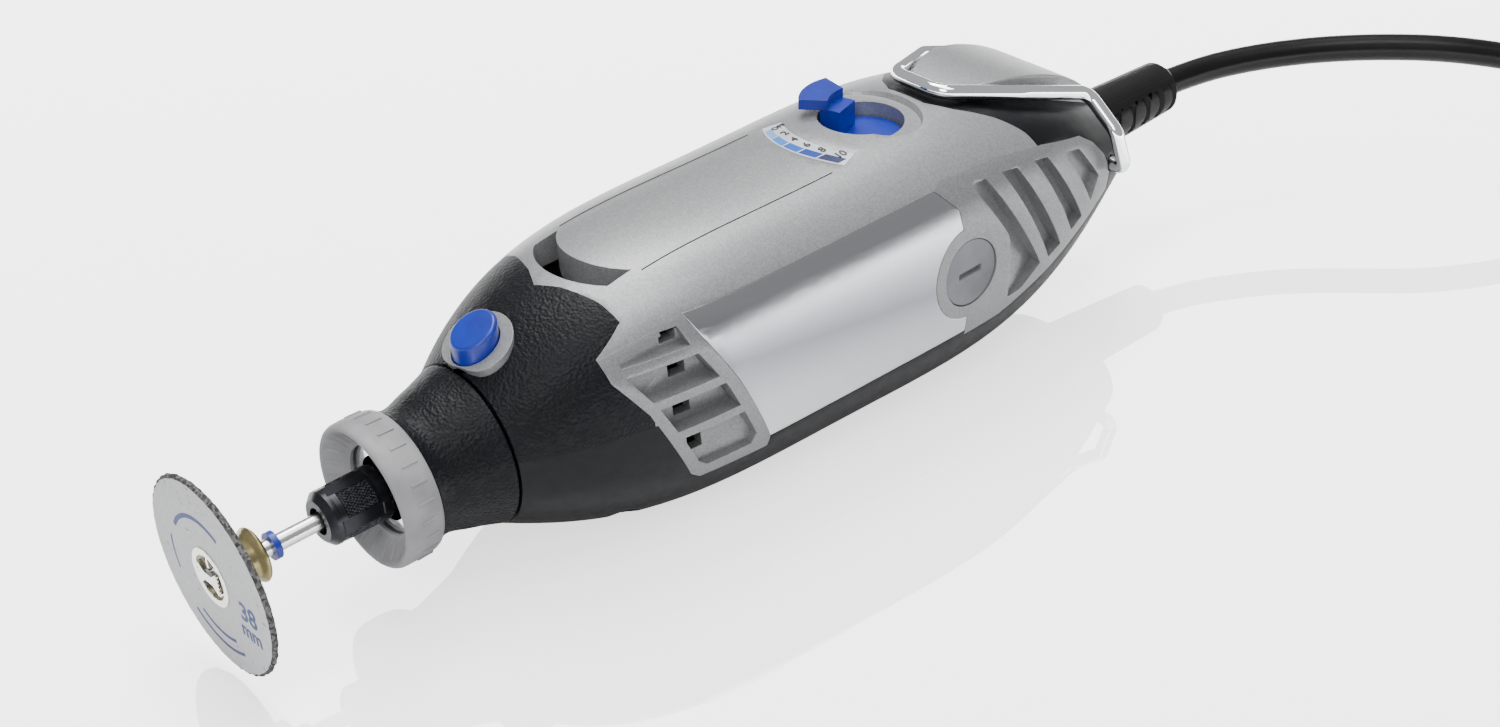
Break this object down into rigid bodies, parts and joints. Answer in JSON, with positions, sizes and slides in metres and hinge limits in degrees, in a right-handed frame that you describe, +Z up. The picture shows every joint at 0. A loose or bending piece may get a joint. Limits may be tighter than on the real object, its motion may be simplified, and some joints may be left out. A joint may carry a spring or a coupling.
{
  "type": "rotary hobby tool",
  "caption": "Mains rotary hobby tool with a quick-change cutting disc, shaft lock button, speed dial, wire hanger and coiled cord.",
  "frame": {"origin": "middle of the tool's footprint on the bench, without the cord", "axes": "+Z up, +X from the disc toward the cord, lying flat with the nose 1.8 degrees low"},
  "size_m": [0.4399, 0.1145, 0.0568],
  "materials": {
    "black_oxide": "satin",
    "black_rubber": "grained",
    "blue_plastic": "satin",
    "board": "satin",
    "brass": "satin",
    "carbon": "matte",
    "charcoal_plastic": "satin",
    "chrome_wire": "polished",
    "copper": "satin",
    "cord_black": "satin",
    "dark_plastic": "satin",
    "disc_paper": "satin",
    "grey_plastic": "satin",
    "label": "printed",
    "lamination": "satin",
    "nickel": "polished",
    "olive_gold": "satin",
    "pale_grey_plastic": "satin",
    "plate_metal": "brushed",
    "silver_plastic": "metal flake",
    "steel": "satin"
  },
  "bodies": {
    "housing": {"nose_insert": "steel", "nose_collar": "black_rubber", "vent_panel_left": "silver_plastic", "vent_panel_right": "silver_plastic", "nameplate_left": "plate_metal", "nameplate_right": "plate_metal", "rear_panel_left": "silver_plastic", "rear_panel_right": "silver_plastic", "brush_tube_left": "brass", "brush_tube_right": "brass", "brush_spring_left": "steel", "brush_spring_right": "steel", "grip_upper": "black_rubber", "button_bezel": "silver_plastic", "upper_shell": "silver_plastic", "lower_shell": "charcoal_plastic", "tail_cap": "charcoal_plastic", "tail_dome": "silver_plastic", "strain_relief": "cord_black", "speed_label": "label", "lock_spring": "steel", "front_bearing_outer": "steel", "stator_core": "lamination", "field_coils": "copper", "rear_bearing_outer": "steel", "control_board": "board", "housing_screws": "steel", "mains_cord": "cord_black", "cord_coil": "cord_black", "cord_tie": "dark_plastic", "mains_plug": "cord_black", "plug_pins": "nickel"},
    "rotor": {"spindle": "steel", "collet": "steel", "mandrel": "steel", "mandrel_ring": "blue_plastic", "mandrel_spring": "steel", "motor_coupling": "dark_plastic", "cooling_fan": "dark_plastic", "rotor_shaft": "steel", "armature_core": "lamination", "armature_winding": "copper", "commutator": "copper", "front_bearing_inner": "steel", "rear_bearing_inner": "steel"},
    "disc": {"cutting_disc": "disc_paper", "disc_hub": "nickel"},
    "sleeve": {"release_sleeve": "olive_gold"},
    "nut": {"collet_nut": "black_oxide"},
    "front_balls": {"front_bearing_balls": "steel"},
    "rear_balls": {"rear_bearing_balls": "steel"},
    "cap": {"nose_cap": "pale_grey_plastic"},
    "button": {"lock_button": "blue_plastic", "lock_pin": "steel"},
    "dial": {"speed_dial": "blue_plastic"},
    "bail": {"hanger_bail": "chrome_wire"},
    "brush_left": {"carbon_brush_left": "carbon"},
    "brush_right": {"carbon_brush_right": "carbon"},
    "brush_screw_left": {"brush_cap_left": "grey_plastic"},
    "brush_screw_right": {"brush_cap_right": "grey_plastic"}
  },
  "joints": [
    {"name": "rotor_spin", "type": "hinge", "parent": "housing", "child": "rotor", "pos_m": [-0.05623, 0, 0.02274], "axis": [0.9995, 0, 0.0314], "continuous": true},
    {"name": "front_balls_roll", "type": "hinge", "parent": "housing", "child": "front_balls", "pos_m": [-0.05623, 0, 0.02274], "axis": [0.9995, 0, 0.0314], "continuous": true},
    {"name": "rear_balls_roll", "type": "hinge", "parent": "housing", "child": "rear_balls", "pos_m": [0.04772, 0, 0.02601], "axis": [0.9995, 0, 0.0314], "continuous": true},
    {"name": "disc_unlock_turn", "type": "hinge", "parent": "rotor", "child": "disc", "pos_m": [-0.1206, 0, 0.02072], "axis": [0.9995, 0, 0.0314], "range_deg": [0, 90]},
    {"name": "sleeve_press", "type": "slide", "parent": "rotor", "child": "sleeve", "axis": [0.9995, 0, 0.0314], "range_m": [0, 0.0018], "stiffness_N_per_m": 900, "springref_m": -0.002, "deforming": ["mandrel_spring"]},
    {"name": "collet_nut_turn", "type": "hinge", "parent": "rotor", "child": "nut", "pos_m": [-0.09122, 0, 0.02164], "axis": [0.9995, 0, 0.0314], "range_deg": [0, 720]},
    {"name": "cap_unscrew", "type": "slide", "parent": "housing", "child": "cap", "axis": [-0.9995, 0, -0.0314], "range_m": [0, 0.006]},
    {"name": "lock_press", "type": "slide", "parent": "housing", "child": "button", "axis": [0.0314, 0, -0.9995], "range_m": [0, 0.003], "stiffness_N_per_m": 600, "springref_m": -0.0015, "deforming": ["lock_spring"]},
    {"name": "speed_turn", "type": "hinge", "parent": "housing", "child": "dial", "pos_m": [0.03003, 0, 0.04746], "axis": [-0.0314, 0, 0.9995], "range_deg": [0, 144]},
    {"name": "bail_swing", "type": "hinge", "parent": "housing", "child": "bail", "pos_m": [0.08157, 0, 0.03107], "axis": [0, 1, 0], "range_deg": [0, 120]},
    {"name": "brush_wear_left", "type": "slide", "parent": "housing", "child": "brush_left", "axis": [0, -1, 0], "range_m": [0, 0.003], "stiffness_N_per_m": 60, "springref_m": -0.01, "deforming": ["brush_spring_left"]},
    {"name": "brush_cap_left_unscrew", "type": "slide", "parent": "housing", "child": "brush_screw_left", "axis": [0, -1, 0], "range_m": [0, 0.006]},
    {"name": "brush_wear_right", "type": "slide", "parent": "housing", "child": "brush_right", "axis": [0, 1, 0], "range_m": [0, 0.003], "stiffness_N_per_m": 60, "springref_m": -0.01, "deforming": ["brush_spring_right"]},
    {"name": "brush_cap_right_unscrew", "type": "slide", "parent": "housing", "child": "brush_screw_right", "axis": [0, 1, 0], "range_m": [0, 0.006]}
  ],
  "couplings": [
    {"joint": "front_balls_roll", "follows": "rotor_spin", "ratio": 0.37},
    {"joint": "rear_balls_roll", "follows": "rotor_spin", "ratio": 0.386}
  ]
}
